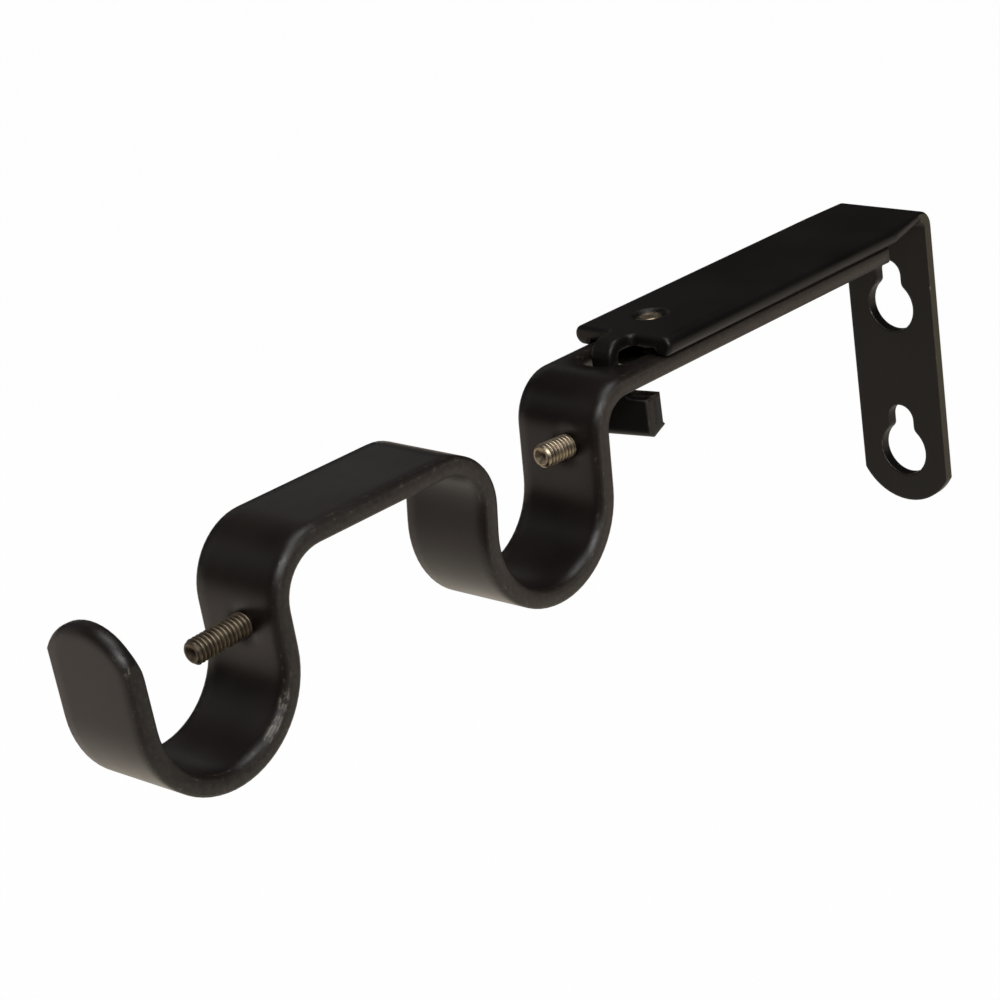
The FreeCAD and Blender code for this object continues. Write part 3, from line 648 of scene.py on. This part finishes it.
def close_end(mesh_edit, level, rings, bottom):
    """Close the open rim at a level with rings, and then with one point at the bottom.
    A ring is (radius, level) or (across flats, level, "hex")."""
    depth = mesh_edit.verts.layers.float["depth"]
    rim = [vertex for vertex in mesh_edit.verts
           if vertex.is_boundary and abs(vertex.co.z - level) < SAME_PLACE]
    rim.sort(key=angle_of)
    angles = [angle_of(vertex) for vertex in rim]
    for size, height, *shape in rings:
        ring = []
        for angle in angles:
            radius = hexagon_radius(size, angle) if shape else size
            place = (radius * math.cos(angle), radius * math.sin(angle), height)
            ring.append(mesh_edit.verts.new(place))
        for number, vertex in enumerate(ring):
            mesh_edit.faces.new((rim[number - 1], rim[number], vertex, ring[number - 1]))
        rim = ring
    point = mesh_edit.verts.new((0.0, 0.0, bottom))
    # The bottom point takes the full painted shade.
    point[depth] = 1.0
    for number, vertex in enumerate(rim):
        mesh_edit.faces.new((rim[number - 1], vertex, point))


def frame_along(axis):
    """The turn that takes +Z to an axis square to X, and keeps X where it is."""
    side = Vector((1.0, 0.0, 0.0))
    return Matrix((side, axis.cross(side), axis)).transposed().to_4x4()


def measure_round(node, axis):
    """Where a round node starts, with its Z along the axis, and its length and radius."""
    points = [Vector(vertex.co) for vertex in frame["nodes"][node].data.vertices]
    turn = frame_along(axis)
    local = [turn.inverted() @ point for point in points]
    low = [min(point[number] for point in local) for number in range(3)]
    high = [max(point[number] for point in local) for number in range(3)]
    start = turn @ Vector(((low[0] + high[0]) / 2, (low[1] + high[1]) / 2, low[2]))
    return Matrix.Translation(start) @ turn, high[2] - low[2], (high[0] - low[0]) / 2


def finish_screw(name, mesh_edit, place, material, node, body):
    """Turn the edited mesh into the piece that stands for a node."""
    bmesh.ops.recalc_face_normals(mesh_edit, faces=mesh_edit.faces)
    mesh_edit.transform(place)
    mesh = bpy.data.meshes.new(name)
    mesh_edit.to_mesh(mesh)
    mesh_edit.free()
    mesh.materials.append(material)
    piece = bpy.data.objects.new(name, mesh)
    scene.collection.objects.link(piece)
    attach(piece, body)
    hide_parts(node)
    print(name, "has", len(mesh.polygons), "faces")


# %% [markdown]
# ## The two set screws
#
# Both are number 8 screws with 32 threads to the inch, which is a pitch of 0.794 mm. The
# end that meets the pole is cupped, and the other end has a hexagon socket. They lie
# along the axes on which they travel, so those axes are read from the frame's joints.

# %% Make the set screws
SET_PITCH = 25.4 / 32 * MM
SET_DEPTH = 0.42 * MM
SET_CHAMFER = 0.5 * MM
CUP_RADIUS = 1.3 * MM
CUP_DEPTH = 0.8 * MM
KEY_ACROSS = 2.0 * MM
KEY_DEPTH = 2.4 * MM


def joint_axis(name):
    for joint in frame["record"]["behaviour"]["joints"]:
        if joint["name"] == name:
            return Vector(joint["axis"]).normalized()
    raise ValueError("no joint " + name)


def make_set_screw(word, material):
    node = word + "_set_screw"
    inward = -joint_axis(word + "_screw_travel")
    place, length, radius = measure_round(node, inward)
    thread = run_tree(thread_tree, {
        "Crest Radius": radius, "Thread Depth": SET_DEPTH, "Pitch": SET_PITCH,
        "Length": length, "Chamfer": SET_CHAMFER, "Material": material,
    })
    mesh_edit = bmesh.new()
    mesh_edit.from_mesh(thread)
    close_end(mesh_edit, 0.0, [(CUP_RADIUS, 0.0)], CUP_DEPTH)
    close_end(mesh_edit, length, [(KEY_ACROSS, length, "hex")], length - KEY_DEPTH)
    body = word + "_screw"
    finish_screw(node + "_threaded", mesh_edit, place, material, node, body)


make_set_screw("front", stained_steel)
make_set_screw("rear", plated_steel)

# %% [markdown]
# ## The clamp screw
#
# Only the end of its shank shows from above, a small ring in the mouth of its hole. Its
# head hangs under the bar. The same tree cuts its thread, and the rings of its lower end
# run out under the head, down its side, round its edge and up into the key socket.

# %% Make the clamp screw
CLAMP_PITCH = 0.8 * MM
CLAMP_DEPTH = 0.45 * MM
CLAMP_CHAMFER = 0.6 * MM
SHANK_RADIUS = 2.5 * MM
HEAD_HEIGHT = 1.7 * MM
HEAD_EDGE = 0.5 * MM
CLAMP_KEY = 3.0 * MM
CLAMP_KEY_DEPTH = 1.2 * MM
END_RADIUS = SHANK_RADIUS - CLAMP_CHAMFER
DIMPLE_RADIUS = END_RADIUS * 0.8
DIMPLE_DEPTH = 0.25 * MM


def make_clamp_screw():
    place, length, head_radius = measure_round("clamp_screw", Vector((0.0, 0.0, 1.0)))
    shank = length - HEAD_HEIGHT
    thread = run_tree(thread_tree, {
        "Crest Radius": SHANK_RADIUS, "Thread Depth": CLAMP_DEPTH, "Pitch": CLAMP_PITCH,
        "Length": shank, "Chamfer": CLAMP_CHAMFER, "Material": plated_steel,
    })
    mesh_edit = bmesh.new()
    mesh_edit.from_mesh(thread)
    close_end(mesh_edit, shank, [(DIMPLE_RADIUS, shank)], shank - DIMPLE_DEPTH)
    close_end(mesh_edit, 0.0, [
        (head_radius, 0.0),
        (head_radius, HEAD_EDGE - HEAD_HEIGHT),
        (head_radius - HEAD_EDGE, -HEAD_HEIGHT),
        (CLAMP_KEY, -HEAD_HEIGHT, "hex"),
    ], CLAMP_KEY_DEPTH - HEAD_HEIGHT)
    lifted = place @ Matrix.Translation((0.0, 0.0, HEAD_HEIGHT))
    finish_screw("clamp_screw_threaded", mesh_edit, lifted, plated_steel,
                 "clamp_screw", "clamp")


make_clamp_screw()

# %% [markdown]
# ## Dress the frame's own pieces
#
# The bracket, the bar and the washer keep their shapes and only get their finish.

# %% Assign the finishes


def dress(node, material):
    """Give a node of the frame its material."""
    mesh = frame["nodes"][node].data
    mesh.materials.clear()
    mesh.materials.append(material)
    print("dressed", node, "in", material.name)


dress("wall_bracket", enamel_sheet)
dress("hook_arm", enamel_bar)
dress("clamp_washer", dull_steel)

# %% [markdown]
# ## The room
#
# The bracket hangs over a plain white table in a studio that is dim above table height.
# That is what its enamel shows: the undersides and the lip mirror the white table, and
# the top faces mirror nearly nothing. So the floor is white for the camera, and for
# mirror rays it is a warm white that fades a little with distance, and that ends on the
# camera's side, where the rounded edges mirror the dim room. The world is white for the
# camera alone, and the floor is clear from beneath.
#
# The lamps stand where no flat face mirrors them: high above, and high behind the
# camera. They light the paint evenly, and draw a thin light line on each rounded edge.
# Two dim cards give the bends and the bridge their faint sheen.

# %% Make the floor
FLOOR_DROP = 0.16
FLOOR_SIZE = 6.0
WHITE = (1.0, 1.0, 1.0, 1.0)
TABLE_NEAR = (1.0, 0.91, 0.76, 1.0)
TABLE_FAR = (0.78, 0.68, 0.60, 1.0)
NEAR_REACH = 0.12
FAR_REACH = 0.42
TOWARDS_CAMERA = (0.6, -0.8, 0.0)
TABLE_END = (0.38, 0.66)
ROOM_DIM = (0.030, 0.027, 0.026, 1.0)
FLOOR_SEEN = 0.985
PAPER = (0.8, 0.8, 0.8, 1.0)
MIDDLE = (0.0, -0.1, 0.0)


def table_mirrored(tree, level):
    """The table's colour for mirror rays: it fades with distance and has a near end."""
    place = object_place(tree)
    away = compare(tree, "DISTANCE", place, (MIDDLE[0], MIDDLE[1], level))
    table = mix_colours(tree, remap(tree, away, NEAR_REACH, FAR_REACH), TABLE_NEAR, TABLE_FAR)
    ahead = compare(tree, "DOT_PRODUCT", place, TOWARDS_CAMERA)
    return mix_colours(tree, remap(tree, ahead, *TABLE_END), table, ROOM_DIM)


def make_floor_material(level):
    material, tree, surface = new_material("white_floor")
    rays = add_node(tree, "ShaderNodeLightPath").outputs
    colour = mix_colours(tree, rays["Is Glossy Ray"], WHITE, table_mirrored(tree, level))
    white = add_node(tree, "ShaderNodeEmission", {"Color": colour, "Strength": 1.0}).outputs[0]
    paper = add_node(tree, "ShaderNodeBsdfDiffuse", {"Color": PAPER}).outputs[0]
    seen = any_of(tree, rays["Is Camera Ray"], rays["Is Glossy Ray"], rays["Is Transmission Ray"])
    share = calculate(tree, "MULTIPLY", seen, FLOOR_SEEN)
    table = add_node(tree, "ShaderNodeMixShader", {0: share, 1: paper, 2: white}).outputs[0]
    beneath = add_node(tree, "ShaderNodeNewGeometry").outputs["Backfacing"]
    clear = add_node(tree, "ShaderNodeBsdfTransparent").outputs[0]
    shown = add_node(tree, "ShaderNodeMixShader", {0: beneath, 1: table, 2: clear}).outputs[0]
    tree.links.new(shown, surface)
    return material


def make_floor():
    half = FLOOR_SIZE / 2
    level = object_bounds()[0][2] - FLOOR_DROP
    mesh = bpy.data.meshes.new("floor")
    corners = [(-half, -half), (half, -half), (half, half), (-half, half)]
    mesh.from_pydata([(x, y, level) for x, y in corners], [], [(0, 1, 2, 3)])
    mesh.materials.append(make_floor_material(level))
    floor = bpy.data.objects.new("floor", mesh)
    scene.collection.objects.link(floor)
    floor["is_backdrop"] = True
    return floor


floor = make_floor()
print("made", floor.name)

# %% Make the world and the lamps


def make_world():
    world = bpy.data.worlds.new("studio")
    world.use_nodes = True
    tree = world.node_tree
    surface = clear_surface(tree, "World")
    rays = add_node(tree, "ShaderNodeLightPath").outputs
    seen = any_of(tree, rays["Is Camera Ray"], rays["Is Transmission Ray"])
    room = add_node(tree, "ShaderNodeBackground", {"Color": ROOM_DIM, "Strength": 1.0}).outputs[0]
    white = add_node(tree, "ShaderNodeBackground", {"Color": WHITE, "Strength": 1.0}).outputs[0]
    blend = add_node(tree, "ShaderNodeMixShader", {0: seen, 1: room, 2: white}).outputs[0]
    tree.links.new(blend, surface)
    scene.world = world
    print("made world", world.name)


def make_lamp(name, place, size, power):
    """A rectangular soft lamp that faces the bracket."""
    data = bpy.data.lights.new(name, "AREA")
    data.shape = "RECTANGLE"
    data.size, data.size_y = size
    data.energy = power
    lamp = bpy.data.objects.new(name, data)
    lamp.location = place
    lamp.rotation_euler = (Vector(MIDDLE) - Vector(place)).to_track_quat("-Z", "Y").to_euler()
    scene.collection.objects.link(lamp)
    print("lamp", name, power, "W")


make_world()
make_lamp("soft_light_behind_camera", (0.75, -0.65, 0.75), (0.5, 0.5), 12.0)
make_lamp("soft_light_above", (0.10, -0.05, 1.0), (0.6, 0.6), 5.0)
make_lamp("dim_card_left", (-0.9, -0.5, 0.45), (0.6, 0.6), 0.35)
make_lamp("dim_card_behind", (-0.80, 0.40, 0.36), (0.45, 0.30), 0.085)
